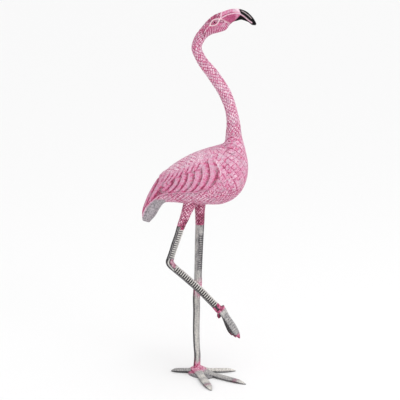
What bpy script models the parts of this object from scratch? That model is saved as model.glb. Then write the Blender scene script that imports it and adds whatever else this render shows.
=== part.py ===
# A cast metal flamingo garden statue, standing on its left leg with the right leg drawn up.
# Metres, +Z up. The origin is on the ground in the body's middle plane, beside the ankle of the
# standing leg. The bird faces +X.
# The bird is one casting: tail, trunk, neck, head and beak are one loft along the body, the limbs
# are lofts along their own lines, and all of them are joined into a single closed solid.

import bmesh
import bpy
import numpy as np

# Driving dimensions
HEIGHT = 1.0           # ground to the top of the beak's arch
LEG_OFFSET = 0.022     # each leg's distance from the body's middle plane
WING_RAISE = 0.0040    # how far the folded wing stands off the flank
COVERT_RAISE = 0.0018  # how far the upper row of feathers stands off the lower row
FEATHER_STEP = 0.0032  # drop from the rear edge of one feather to the next
GROOVE_DEPTH = 0.0016
GROOVE_WIDTH = 0.0022
MOUTH_DEPTH = 0.0014
SCUTE_PITCH = 0.0085   # one horny ring of the legs
SCUTE_DEPTH = 0.0013
TOE_WIDTH = 0.027
TOE_THICK = 0.014
EYE_RADIUS = 0.0046
BIRD_ROWS = 330        # sections that the bird is carved at, from tail to beak
BIRD_AROUND = 132      # points around each of them
BIRD_TRIANGLES = 5500  # facets that the carved bird keeps
LEG_SIDES = 10
TOE_SIDES = 8
PALM_SIDES = 30
MERGE_DISTANCE = 0.00002  # points closer than this become one
SHARE = HEIGHT / 1000  # the tables below are in thousandths of the height

# Cross-sections from the tail's end to the beak's tip: back x, back z, belly x, belly z, half width.
TRUNK_SECTIONS = [
    (-146, 441, -127, 435, 8), (-146, 460, -111, 453, 15), (-138, 484, -99, 474, 21),
    (-121, 521, -84, 490, 31), (-101, 554, -64, 491, 44), (-76, 582, -37, 489, 56),
    (-42, 606, -2, 486, 65), (-5, 625, 32, 485.5, 70), (27, 636, 67, 487, 70),
    (51, 643, 99, 501, 66), (65, 647, 120, 523, 60), (72, 651, 133, 555, 52),
    (74, 656, 136, 591, 42), (75, 662, 130, 626, 31), (76, 674, 119, 668, 22),
]
NECK_SECTIONS = [
    (78, 700, 114, 703, 18), (75, 732, 105, 741, 16), (59, 774, 89, 787, 15.5),
    (29, 821, 55, 839, 15), (-2, 867, 21, 880, 14), (-14, 898, 13, 901, 14), (-5.5, 929, 23, 922, 14),
]
HEAD_SECTIONS = [
    (14, 955, 39, 934, 15.5), (30, 973, 57, 939, 17.5), (48, 986, 76, 946, 17.5), (66, 992, 85, 958, 13),
]
BEAK_SECTIONS = [
    (83, 998, 94, 966, 11.5), (99, 1000, 104, 969, 11.5), (114, 998.6, 114, 971.5, 11),
    (129, 992.5, 123, 969.5, 9.5), (141, 982, 134, 965, 7.5), (150, 970, 144, 958, 5),
    (154.5, 960.5, 150.5, 957.5, 2.5),
]

# The folded wing in side view, x and z: its leading and lower edge from the shoulder to the wing's
# tip, the line where the feathers fade into the back, and the line between its two feather rows.
WING_EDGE = [
    (38, 634), (47, 607), (55, 592), (58, 580), (57, 568), (50, 555), (38, 543), (22, 534), (-2, 528),
    (-46, 526), (-78, 521), (-98, 513), (-119, 493), (-132, 476), (-141, 455), (-150, 434),
]
WING_TOP = [(-175, 560), (-120, 580), (-85, 590), (-57, 597), (-38, 607), (-14, 617), (14, 625), (38, 634)]
ROW_LINE = [
    (-175, 470), (-125, 500), (-96, 527), (-70, 549), (-54, 562), (-38, 572), (-14, 579), (8, 587),
    (24, 604), (38, 634),
]

# Rear edges of the feathers, front to rear: root, bulge and tip of the first and of the last.
# Crowding draws the feathers together towards the rear.
LOWER_FEATHERS = {
    "count": 7, "crowding": 1.0,
    "first": [(47, 611), (69, 575), (31, 538)], "last": [(-56, 558), (-72, 528), (-101, 517)],
}
UPPER_FEATHERS = {
    "count": 10, "crowding": 0.85,
    "first": [(29, 612), (20, 586), (3, 580)], "last": [(-90, 562), (-96, 552), (-106, 540)],
}
FLIGHT_FEATHERS = {
    "count": 3, "crowding": 1.0,
    "first": [(-84, 546), (-106, 516), (-131, 480)], "last": [(-112, 552), (-130, 512), (-143, 466)],
}
FLIGHT_START = -90       # x where the long flight feathers take over from both rows
MOUTH_LINE = [(65, 977), (75, 983), (88, 987), (101, 989), (111, 987), (121, 981), (134, 970), (147, 961)]
EYE_PLACE = (46, 966)
EYE_SLANT = 34           # degrees that the eye's long axis rises towards the beak
EYE_RIM = (14, 6.5)      # half length and half height of the rim around the eye
EYE_HALF_WIDTH = 17.2    # half width of the head where the eyes sit
CHEEK_RIDGE = [(65, 997), (62, 982), (61, 975), (67, 972), (75, 968), (85, 963)]

# Limbs: x, z and radius along each leg; the raised one ends where its toes part.
STANDING_LEG = [
    (8, 520, 21), (8, 486, 17), (8, 470, 14.5), (8, 430, 12.3), (6, 380, 11.5), (4, 318, 10.6),
    (3, 285, 10.5), (3, 262, 10.8), (1, 240, 11), (-1, 222, 10.2), (-1, 182, 9.6), (-2, 120, 9.2),
    (-1, 81, 9), (1, 50, 8.9), (0, 24, 9.6), (0, 6, 12),
]
RAISED_LEG = [
    (-12, 515, 21), (-20, 488, 17), (-27, 469, 14), (-33, 452, 12.6), (-42, 430, 10.6), (-50, 404, 9.8),
    (-59, 378, 9.7), (-66, 356, 9.3), (-71, 340, 9.8), (-73, 330, 10.8), (-68, 321, 10.6), (-61, 314, 10),
    (-39.6, 295.4, 9.8), (-5, 264, 9.6), (10, 250, 9.6), (29, 230, 9.6), (48, 210, 9.8), (58, 199, 10.8),
    (66, 190, 9),
]
STANDING_SCUTES = (0.205, 0.43)  # shares of the standing leg's line, from the top, that carry rings
RAISED_SCUTES = [(0.22, 0.47), (0.54, 0.95)]
# Standing toes: bearing in degrees from +X towards +Y, length.
STANDING_TOES = {"inner": (6, 108), "middle": (-34.5, 160), "outer": (-74.5, 141), "hind": (171, 73)}
TOE_ROOT_RISE = 0.3   # how much thicker a standing toe is at its root, as a share of its thickness
TOE_ROOT_FLARE = 0.3  # how much broader it is there, as a share of its width
# How far the pad and its webs reach from the ankle's axis: bearing in degrees, reach.
WEB_REACH = [
    (-180, 22), (-150, 27), (-120, 32), (-100, 38), (-88, 42), (-72, 58), (-54, 60), (-38, 62), (-30, 52),
    (-14, 36), (5, 40), (18, 24), (60, 20), (180, 22),
]
# Raised toes, hanging: the place they part at, x and z, then each tip's offset from it along x, y and
# z, and its width as a share of TOE_WIDTH.
RAISED_TOE_ROOT = (64, 201)
RAISED_TOES = {
    "outer": (52, -13, -81, 0.95), "middle": (42, 3, -84, 0.85), "inner": (32, 14, -82, 0.85),
    "hind": (-5, 3, -30, 0.6),
}
RAISED_TOE_LEVEL = (0.45, -0.75, 0.45)  # the way the flat tops of the raised toes face
RAISED_TOE_BOW = (0.01, 0.01)  # how far a raised toe bows out along x and z, as shares of its length
RAISED_TOE_SPREAD = 0.45  # share of a raised toe's sideways reach that it already has at its root
SOLE_HEIGHT_SHARE = 0.42  # of a toe's thickness, from the sole up to its line

# Distances from the body's middle plane over which the carving sets in.
WING_SETS_IN = (0.003, 0.018)
HEAD_SETS_IN = (0.0, 0.006)


def smooth_rows(rows, count):
    """Rows of a table as a smooth curve of count rows, even along the first columns' path."""
    rows = np.array(rows, float)
    places = rows[:, :4] if rows.shape[1] > 3 else rows[:, :2]
    along = np.concatenate([[0], np.cumsum(np.linalg.norm(np.diff(places, axis=0), axis=1))])
    slopes = np.gradient(rows, along, axis=0)
    wanted = np.linspace(0, along[-1], count)
    left = np.clip(np.searchsorted(along, wanted, side="right") - 1, 0, len(rows) - 2)
    gap = (along[left + 1] - along[left])[:, None]
    t = ((wanted - along[left])[:, None]) / gap
    return (
        rows[left] * (2 * t**3 - 3 * t**2 + 1)
        + rows[left + 1] * (3 * t**2 - 2 * t**3)
        + slopes[left] * gap * (t**3 - 2 * t**2 + t)
        + slopes[left + 1] * gap * (t**3 - t**2)
    )


def step_up(value, low, high):
    t = np.clip((value - low) / (high - low), 0, 1)
    return t * t * (3 - 2 * t)


def curve_through(points, count=24):
    """A quadratic curve from the first point to the last, drawn towards the middle one."""
    t = np.linspace(0, 1, count)[:, None]
    root, bulge, tip = np.array(points, float)
    return root * (1 - t) ** 2 + 2 * bulge * t * (1 - t) + tip * t**2


def distance_to_line(points, line):
    """Shortest distance from each point to a broken line, in the line's plane."""
    line = np.array(line, float)
    best = np.full(len(points), np.inf)
    for start, end in zip(line[:-1], line[1:]):
        run = end - start
        t = np.clip(((points - start) @ run) / (run @ run), 0, 1)
        best = np.minimum(best, np.linalg.norm(points - start - t[:, None] * run, axis=1))
    return best


def inside_outline(points, outline):
    """True for each point inside a closed outline."""
    outline = np.array(outline, float)
    inside = np.zeros(len(points), bool)
    for (x0, z0), (x1, z1) in zip(outline, np.roll(outline, -1, axis=0)):
        if z0 == z1:
            continue
        crosses = (z0 > points[:, 1]) != (z1 > points[:, 1])
        at = x0 + (points[:, 1] - z0) * (x1 - x0) / (z1 - z0)
        inside ^= crosses & (points[:, 0] < at)
    return inside


def feather_row(points, feathers):
    """Height of a row of overlapping feathers, in metres: each rises to its rear edge and drops there."""
    shares = np.linspace(0, 1, feathers["count"]) ** feathers["crowding"]
    first, last = np.array(feathers["first"], float), np.array(feathers["last"], float)
    edges, slants = [], []
    for share in shares:
        edge = curve_through(first * (1 - share) + last * share)[::-1]
        edges.append(np.interp(points[:, 1], edge[:, 1], edge[:, 0]))
        slope = np.gradient(edge[:, 0], edge[:, 1])
        slants.append(1 / np.hypot(1, np.interp(points[:, 1], edge[:, 1], slope)))
    edges, slants = np.array(edges), np.array(slants)
    pitch = np.maximum(edges[:-1] - edges[1:], 2).mean(axis=0)
    ahead = (points[:, 0] < edges).sum(axis=0)
    # A feather's own stretch runs from the edge in front of it to its own rear edge.
    front_edge = np.take_along_axis(edges, np.clip(ahead - 1, 0, None)[None], 0)[0]
    rear_edge = np.take_along_axis(edges, np.clip(ahead, None, len(edges) - 1)[None], 0)[0]
    front = np.where(ahead > 0, front_edge, edges[0] + pitch)
    rear = np.where(ahead < len(edges), rear_edge, edges[-1] - pitch)
    across = np.clip((front - points[:, 0]) / np.maximum(front - rear, 1), 0, 1)
    nearest = np.abs(points[:, 0] - edges) * slants
    groove = np.exp(-((nearest.min(axis=0) * SHARE / GROOVE_WIDTH) ** 2))
    return FEATHER_STEP * (across**1.4 - 0.5) - GROOVE_DEPTH * groove


def wing_relief(points):
    """Height of the folded wing over the flank, for points (x, z) in thousandths of the height."""
    inside = inside_outline(points, WING_EDGE + WING_TOP)
    edge = distance_to_line(points, WING_EDGE) * SHARE
    top = distance_to_line(points, WING_TOP) * SHARE
    amount = inside * step_up(edge, 0, 1.2 * GROOVE_WIDTH)
    fade = step_up(top, 0, 9 * GROOVE_WIDTH)
    row = np.array(ROW_LINE, float)
    above = points[:, 1] - np.interp(points[:, 0], row[:, 0], row[:, 1])
    upper = step_up(above * SHARE, 0, GROOVE_WIDTH)
    flight = step_up(FLIGHT_START - points[:, 0], -6, 6)
    height = WING_RAISE + COVERT_RAISE * upper * (1 - flight)
    height += (1 - flight) * (1 - upper) * feather_row(points, LOWER_FEATHERS)
    height += (1 - flight) * upper * feather_row(points, UPPER_FEATHERS)
    height += flight * 0.8 * feather_row(points, FLIGHT_FEATHERS)
    outer_groove = np.exp(-((edge / GROOVE_WIDTH) ** 2)) * ~inside
    return (amount * height - 0.5 * GROOVE_DEPTH * outer_groove) * fade


def head_relief(points):
    """Mouth line, cheek ridge and rim around the eye, for points (x, z) in thousandths of the height."""
    mouth = np.exp(-((distance_to_line(points, MOUTH_LINE) * SHARE / (0.6 * GROOVE_WIDTH)) ** 2))
    ridge = np.exp(-((distance_to_line(points, CHEEK_RIDGE) * SHARE / (0.7 * GROOVE_WIDTH)) ** 2))
    away = points - np.array(EYE_PLACE, float)
    slant = np.radians(EYE_SLANT)
    along = (away[:, 0] * np.cos(slant) + away[:, 1] * np.sin(slant)) / EYE_RIM[0]
    across = (away[:, 1] * np.cos(slant) - away[:, 0] * np.sin(slant)) / EYE_RIM[1]
    rim = np.exp(-(((np.hypot(along, across) - 1) / 0.28) ** 2))
    return 0.6 * MOUTH_DEPTH * (ridge + rim) - MOUTH_DEPTH * mouth


def section_rings(rows, around):
    """Egg-shaped rings across the bird, widest below the middle on the trunk."""
    angle = np.linspace(0, 2 * np.pi, around, endpoint=False)
    rings = np.zeros((len(rows), around, 3))
    for ring, (back_x, back_z, belly_x, belly_z, half_width) in zip(rings, rows):
        middle = np.array([(back_x + belly_x) / 2, (back_z + belly_z) / 2])
        reach = np.array([back_x, back_z]) - middle
        droop = 0.14 * min(1, half_width / 60)
        ring[:, 0] = middle[0] + reach[0] * np.cos(angle)
        ring[:, 2] = middle[1] + reach[1] * np.cos(angle)
        ring[:, 1] = half_width * np.sin(angle) * (1 - droop * np.cos(angle))
    return rings * SHARE


def ring_normals(rings):
    along = np.gradient(rings, axis=0)
    around = np.roll(rings, -1, axis=1) - np.roll(rings, 1, axis=1)
    normal = np.cross(around, along)
    normal /= np.maximum(np.linalg.norm(normal, axis=2, keepdims=True), 1e-12)
    outward = rings - rings.mean(axis=1, keepdims=True)
    return normal * np.sign((normal * outward).sum(axis=2).mean())


def loft(name, rings):
    """A closed mesh through rings of equal point count, with each end closed by a fan."""
    count, around = rings.shape[:2]
    ends = [rings[0].mean(axis=0), rings[-1].mean(axis=0)]
    points = np.concatenate([rings.reshape(-1, 3), ends])
    faces = []
    for i in range(count - 1):
        for j in range(around):
            k = (j + 1) % around
            faces.append((i * around + j, i * around + k, (i + 1) * around + k, (i + 1) * around + j))
    for j in range(around):
        k = (j + 1) % around
        faces.append((count * around, k, j))
        faces.append((count * around + 1, (count - 1) * around + j, (count - 1) * around + k))
    mesh = bpy.data.meshes.new(name)
    mesh.from_pydata(points.tolist(), [], faces)
    shaped = bmesh.new()
    shaped.from_mesh(mesh)
    if shaped.calc_volume(signed=True) < 0:
        bmesh.ops.reverse_faces(shaped, faces=shaped.faces)
    shaped.to_mesh(mesh)
    shaped.free()
    made = bpy.data.objects.new(name, mesh)
    WORK.objects.link(made)
    return made


def limb_rings(path, half_width, half_thick, level):
    """Rings square to a path. Their width lies square to level, and their thickness along it."""
    tangent = np.gradient(path, axis=0)
    tangent /= np.linalg.norm(tangent, axis=1, keepdims=True)
    across = np.cross(np.array(level, float), tangent)
    across /= np.linalg.norm(across, axis=1, keepdims=True)
    third = np.cross(tangent, across)
    angle = np.linspace(0, 2 * np.pi, half_width.shape[1], endpoint=False)
    return (
        path[:, None]
        + across[:, None] * np.cos(angle)[None, :, None] * half_width[..., None]
        + third[:, None] * np.sin(angle)[None, :, None] * half_thick[..., None]
    )


def scute_cut(lengths, span, front):
    """How deep the rings of horn cut into the leg. The back of the leg stays plain."""
    low, high = span
    within = (lengths >= low) & (lengths <= high)
    wave = 0.5 - 0.5 * np.cos(2 * np.pi * (lengths - low) / SCUTE_PITCH)
    return SCUTE_DEPTH * (within * (1 - wave))[:, None] * front[None]


def build_leg(name, table, side, spans, plain_per_section):
    """A leg whose ringed stretches have two sections for each scute."""
    fine = smooth_rows(table, 40 * len(table))
    run = np.concatenate([[0], np.cumsum(np.hypot(*np.diff(fine[:, :2], axis=0).T))]) * SHARE
    scutes = [round((high - low) * run[-1] / SCUTE_PITCH) for low, high in spans]
    spans = [
        (low * run[-1], low * run[-1] + SCUTE_PITCH * count) for (low, high), count in zip(spans, scutes)
    ]
    stops = [0.0]
    for low, high in spans + [(run[-1], run[-1])]:
        plain = max(2, int(round((low - stops[-1]) / plain_per_section)))
        stops += list(np.linspace(stops[-1], low, plain + 1)[1:])
        if high > low:
            halves = int(round(2 * (high - low) / SCUTE_PITCH))
            stops += list(low + np.arange(1, halves + 1) * SCUTE_PITCH / 2)
    stops = np.unique(np.round(stops, 6))
    x, z, radius = (np.interp(stops, run, fine[:, c]) * SHARE for c in range(3))
    path = np.stack([x, np.full_like(x, side), z], axis=1)
    angle = np.linspace(0, 2 * np.pi, LEG_SIDES, endpoint=False)
    front = step_up(-np.cos(angle), -0.75, -0.1)
    cut = sum((scute_cut(stops, span, front) for span in spans), np.zeros((len(stops), LEG_SIDES)))
    shape = radius[:, None] - cut
    return loft(name, limb_rings(path, shape, shape, (0, 1, 0)))


def build_bird():
    """Tail, trunk, neck, head and beak, carved finely and then reduced to broad facets."""
    rows = smooth_rows(TRUNK_SECTIONS + NECK_SECTIONS + HEAD_SECTIONS + BEAK_SECTIONS, BIRD_ROWS)
    rings = section_rings(rows, BIRD_AROUND)
    flat = rings.reshape(-1, 3)[:, [0, 2]] / SHARE
    aside = np.abs(rings[..., 1]) / HEIGHT
    relief = wing_relief(flat).reshape(aside.shape) * step_up(aside, *WING_SETS_IN)
    relief += head_relief(flat).reshape(aside.shape) * step_up(aside, *HEAD_SETS_IN)
    rings = rings + ring_normals(rings) * relief[..., None]
    bird = loft("bird", rings)
    reduce = bird.modifiers.new("facets", "DECIMATE")
    reduce.ratio = BIRD_TRIANGLES / (2 * rings.shape[0] * rings.shape[1])
    return bird


def build_eye(side):
    """One eyeball, sunk to half its depth in the side of the head."""
    shaped = bmesh.new()
    bmesh.ops.create_uvsphere(shaped, u_segments=10, v_segments=6, radius=EYE_RADIUS)
    mesh = bpy.data.meshes.new("eye")
    shaped.to_mesh(mesh)
    shaped.free()
    eye = bpy.data.objects.new("eye", mesh)
    out = EYE_HALF_WIDTH * SHARE - 0.45 * EYE_RADIUS
    eye.location = (EYE_PLACE[0] * SHARE, side * out, EYE_PLACE[1] * SHARE)
    WORK.objects.link(eye)
    return eye


def toe_profile(count, width, thick, claw=0.16):
    """Half width and half thickness along a toe: full at the root, a waist, a pad, then the claw."""
    t = np.linspace(0, 1, count)
    swell = 1 + 0.10 * np.cos(2 * np.pi * 1.5 * t)
    taper = 1 - 0.35 * t
    tip = np.sqrt(np.clip((1.0 - t) / claw, 0.02, 1))
    return 0.5 * width * swell * taper * tip, 0.5 * thick * taper * np.clip(tip, 0.25, 1)


def build_standing_toe(name, bearing, length):
    """A toe flat on the ground, from under the ankle outwards."""
    count = 11
    t = np.linspace(-0.03, 1, count)
    heading = np.array([np.cos(np.radians(bearing)), np.sin(np.radians(bearing)), 0])
    half_width, half_thick = toe_profile(count, TOE_WIDTH, TOE_THICK)
    root_rise = TOE_ROOT_RISE * TOE_THICK * step_up(0.35 - t, 0, 0.35)
    path = heading[None] * (t * length * SHARE)[:, None]
    path[:, 1] += LEG_OFFSET
    path[:, 2] = SOLE_HEIGHT_SHARE * 2 * half_thick + root_rise
    ones = np.ones((1, TOE_SIDES))
    width = (half_width * (1 + TOE_ROOT_FLARE * step_up(0.4 - t, 0, 0.4)))[:, None] * ones
    return loft(name, limb_rings(path, width, (half_thick + root_rise)[:, None] * ones, (0, 0, 1)))


def build_raised_toe(name, tip_x, tip_y, tip_z, width_share):
    """A toe hanging from the raised ankle."""
    count = 10
    t = np.linspace(0, 1, count)
    reach = np.array([tip_x, tip_y, tip_z]) * SHARE
    width, thick = toe_profile(count, width_share * TOE_WIDTH, 0.85 * TOE_THICK)
    ankle = np.array([RAISED_TOE_ROOT[0] * SHARE, -LEG_OFFSET, RAISED_TOE_ROOT[1] * SHARE])
    root = ankle + np.array([0, RAISED_TOE_SPREAD * reach[1], 0])
    bow = np.array([RAISED_TOE_BOW[0], 0, RAISED_TOE_BOW[1]]) * np.linalg.norm(reach)
    path = root + (ankle + reach - root)[None] * t[:, None] + bow[None] * np.sin(np.pi * t)[:, None]
    ones = np.ones((1, TOE_SIDES))
    return loft(name, limb_rings(path, width[:, None] * ones, thick[:, None] * ones, RAISED_TOE_LEVEL))


def build_palm():
    """The low pad under the ankle, with the short webs between the front toes."""
    angle = np.linspace(-np.pi, np.pi, PALM_SIDES, endpoint=False) + 0.03
    web = np.array(WEB_REACH, float)
    reach = np.interp(np.degrees(angle), web[:, 0], web[:, 1]) * SHARE
    levels = [(-0.6, 1.0), (0.2, 1.0), (0.45, 0.93), (0.62, 0.72), (0.8, 0.3)]
    rings = np.zeros((len(levels), PALM_SIDES, 3))
    for ring, (rise, share) in zip(rings, levels):
        ring[:, 0] = reach * share * np.cos(angle)
        ring[:, 1] = reach * share * np.sin(angle) + LEG_OFFSET
        ring[:, 2] = rise * TOE_THICK
    return loft("palm", rings)


def join_solids(base, others):
    """Joins the others to the base, one after another, and makes the result a plain mesh."""
    for other in others:
        union = base.modifiers.new("join", "BOOLEAN")
        union.operation = "UNION"
        union.solver = "EXACT"
        union.object = other
        other.hide_render = True
    return made_plain(base)


def made_plain(made):
    view = bpy.context.evaluated_depsgraph_get()
    mesh = bpy.data.meshes.new_from_object(made.evaluated_get(view))
    made.modifiers.clear()
    made.data = mesh
    return made


def cut_sole(foot):
    """Cuts everything below the ground away, so that the foot has one flat sole."""
    bpy.ops.mesh.primitive_cube_add(size=1)
    block = bpy.context.object
    block.name = "ground"
    block.scale = (HEIGHT, HEIGHT, 0.2 * HEIGHT)
    block.location = (0, 0, -0.1 * HEIGHT)
    block.display_type = "WIRE"
    block.hide_render = True
    cut = foot.modifiers.new("sole", "BOOLEAN")
    cut.operation = "DIFFERENCE"
    cut.solver = "EXACT"
    cut.object = block
    bpy.context.view_layer.update()
    made_plain(foot)
    return block


def painted_metal():
    material = bpy.data.materials.new("painted_cast_metal")
    material.use_nodes = True
    shader = material.node_tree.nodes["Principled BSDF"]
    shader.inputs["Base Color"].default_value = (0.70, 0.28, 0.42, 1)
    shader.inputs["Roughness"].default_value = 0.45
    shader.inputs["Metallic"].default_value = 0.0
    return material


def tidy_mesh(statue):
    """Merges doubled points, drops faces with no area and makes the whole sole one flat face."""
    shaped = bmesh.new()
    shaped.from_mesh(statue.data)
    bmesh.ops.remove_doubles(shaped, verts=shaped.verts, dist=MERGE_DISTANCE)
    bmesh.ops.dissolve_degenerate(shaped, edges=shaped.edges, dist=MERGE_DISTANCE)
    flat = 0.00001
    sole = [face for face in shaped.faces if all(abs(corner.co.z) < flat for corner in face.verts)]
    if len(sole) > 1:
        sole = bmesh.ops.dissolve_faces(shaped, faces=sole)["region"]
    bmesh.ops.triangulate(shaped, faces=[face for face in shaped.faces if face not in set(sole)])
    shaped.to_mesh(statue.data)
    shaped.free()


for old in list(bpy.data.objects):
    bpy.data.objects.remove(old)

STATUE = bpy.data.collections.new("flamingo_statue")
WORK = bpy.data.collections.new("workings")
bpy.context.scene.collection.children.link(STATUE)
bpy.context.scene.collection.children.link(WORK)

bird = made_plain(build_bird())
standing_leg = build_leg("standing_leg", STANDING_LEG, LEG_OFFSET, [STANDING_SCUTES], 0.026)
raised_leg = build_leg("raised_leg", RAISED_LEG, -LEG_OFFSET, RAISED_SCUTES, 0.016)
toes = [build_standing_toe(f"{name}_toe", *toe) for name, toe in STANDING_TOES.items()]
foot = join_solids(build_palm(), toes)
ground = cut_sole(foot)
raised_toes = [build_raised_toe(f"raised_{name}_toe", *toe) for name, toe in RAISED_TOES.items()]
eyes = [build_eye(side) for side in (-1, 1)]
statue = join_solids(bird, [standing_leg, raised_leg, foot] + raised_toes + eyes)
tidy_mesh(statue)

WORK.objects.unlink(statue)
STATUE.objects.link(statue)
statue.name = "flamingo"
statue.data.name = "flamingo"
statue.data.materials.append(painted_metal())
statue.data.shade_smooth()
statue.data.set_sharp_from_angle(angle=np.radians(38))
for piece in list(WORK.objects) + [ground]:
    bpy.data.objects.remove(piece)
print("triangles", len(statue.data.polygons))
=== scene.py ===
import bmesh
import bpy
import numpy as np
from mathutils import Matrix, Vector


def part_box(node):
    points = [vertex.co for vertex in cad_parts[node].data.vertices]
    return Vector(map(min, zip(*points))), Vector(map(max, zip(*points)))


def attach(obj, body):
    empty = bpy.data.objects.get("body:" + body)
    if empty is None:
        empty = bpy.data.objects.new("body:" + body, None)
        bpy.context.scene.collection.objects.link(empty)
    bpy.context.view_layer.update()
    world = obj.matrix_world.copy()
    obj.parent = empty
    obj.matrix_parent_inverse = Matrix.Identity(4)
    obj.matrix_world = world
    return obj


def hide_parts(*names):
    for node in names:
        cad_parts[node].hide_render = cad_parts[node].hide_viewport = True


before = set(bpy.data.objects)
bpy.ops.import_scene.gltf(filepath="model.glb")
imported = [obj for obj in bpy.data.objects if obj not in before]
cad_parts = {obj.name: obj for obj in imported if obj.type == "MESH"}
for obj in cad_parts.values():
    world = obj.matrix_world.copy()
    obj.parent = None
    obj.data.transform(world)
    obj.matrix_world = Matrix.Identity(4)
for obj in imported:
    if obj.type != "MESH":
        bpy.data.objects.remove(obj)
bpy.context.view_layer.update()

# A flamingo cast in aluminium and painted by hand. The casting is built here finely enough to carry its
# feathers and scales, over the same sections as the solid. Lengths in the dictionaries are thousandths
# of the statue's height unless a note says millimetres; the beak points to +X.
cadLow, cadHigh = (np.array(corner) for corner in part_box("flamingo"))
unit = (cadHigh[2] - cadLow[2]) / 1000
mm = 0.001
toMm = unit / mm


# what the shapes are measured with

def stepUp(value, low, high):
    t = np.clip((value - low) / (high - low), 0, 1)
    return t * t * (3 - 2 * t)


def stepDown(value, low, high):
    return 1 - stepUp(value, low, high)


def hump(value, width):
    return np.exp(-((value / width) ** 2))


def runAlong(path):
    return np.concatenate([[0], np.cumsum(np.linalg.norm(np.diff(path, axis=0), axis=1))])


def unitVectors(vectors):
    return vectors / np.linalg.norm(vectors, axis=1, keepdims=True)


# a section's row starts with its back and belly, a leg's row with its middle
def tableRun(rows):
    return runAlong(rows[:, :4] if rows.shape[1] > 3 else rows[:, :2])


def smoothRows(table, stops=None, count=None):
    rows = np.array(table, float)
    along = tableRun(rows)
    slopes = np.gradient(rows, along, axis=0)
    wanted = np.linspace(0, along[-1], count) if stops is None else stops
    left = np.clip(np.searchsorted(along, wanted, side="right") - 1, 0, len(rows) - 2)
    gap = (along[left + 1] - along[left])[:, None]
    t = (wanted - along[left])[:, None] / gap
    return (rows[left] * (2 * t**3 - 3 * t**2 + 1) + rows[left + 1] * (3 * t**2 - 2 * t**3)
            + slopes[left] * gap * (t**3 - 2 * t**2 + t) + slopes[left + 1] * gap * (t**3 - t**2))


def fromLine(points, line):  # in millimetres
    line = np.array(line, float)
    best = np.full(points.shape[:-1], np.inf)
    for start, end in zip(line[:-1], line[1:]):
        run = end - start
        t = np.clip(((points - start) @ run) / (run @ run), 0, 1)
        best = np.minimum(best, np.linalg.norm(points - start - t[..., None] * run, axis=-1))
    return best * toMm


def insideOutline(x, z, outline):
    outline = np.array(outline, float)
    inside = np.zeros(x.shape, bool)
    for (x0, z0), (x1, z1) in zip(outline, np.roll(outline, -1, axis=0)):
        if z0 != z1:
            inside ^= ((z0 > z) != (z1 > z)) & (x < x0 + (z - z0) * (x1 - x0) / (z1 - z0))
    return inside


def bentLine(points, count=24):
    t = np.linspace(0, 1, count)[:, None]
    root, bulge, tip = np.array(points, float)
    return root * (1 - t) ** 2 + 2 * bulge * t * (1 - t) + tip * t**2


# the bird from tail to beak

bird = {
    "trunkRows": 180, "neckRows": 156, "headRows": 146,
    "headBlend": (-6, 14),  # rows from the neck's end over which the head's own relief comes in
    "trunkAround": 216,  # halved from the neck upwards
    "droop": (0.14, 60),  # how low the widest place lies, in full from this half width on
    # back x, back z, belly x, belly z, half width
    "trunk": [
        (-146, 441, -127, 435, 8), (-146, 460, -111, 453, 15), (-138, 484, -99, 474, 21),
        (-121, 521, -84, 490, 31), (-101, 554, -64, 491, 44), (-76, 582, -37, 489, 56),
        (-42, 606, -2, 486, 65), (-5, 625, 32, 485.5, 70), (27, 636, 67, 487, 70),
        (51, 643, 99, 501, 66), (65, 647, 120, 523, 60), (72, 651, 133, 555, 52),
        (74, 656, 136, 591, 42), (75, 662, 130, 626, 31), (76, 674, 119, 668, 22),
    ],
    "neck": [
        (78, 700, 114, 703, 18), (75, 732, 105, 741, 16), (59, 774, 89, 787, 15.5),
        (29, 821, 55, 839, 15), (-2, 867, 21, 880, 14), (-14, 898, 13, 901, 14), (-5.5, 929, 23, 922, 14),
    ],
    "head": [
        (14, 955, 39, 934, 15.5), (30, 973, 57, 939, 17.5), (48, 986, 76, 946, 17.5),
        (66, 992, 85, 958, 13), (83, 998, 94, 966, 11.5), (99, 1000, 104, 969, 11.5),
        (114, 998.6, 114, 971.5, 11), (129, 992.5, 123, 969.5, 9.5), (141, 982, 134, 965, 7.5),
        (150, 970, 144, 958, 5), (154.5, 960.5, 150.5, 957.5, 2.5),
    ],
    "weldHeight": 662,  # where neck and trunk were welded together
    "weldDepth": 0.5, "weldWidth": 1.1,  # mm
    # how pale the skin is: everywhere, then what the back, the breast and the neck add
    "levels": {"plain": 0.55, "back": 0.20, "breast": -0.06, "neck": 0.12},
}

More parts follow.
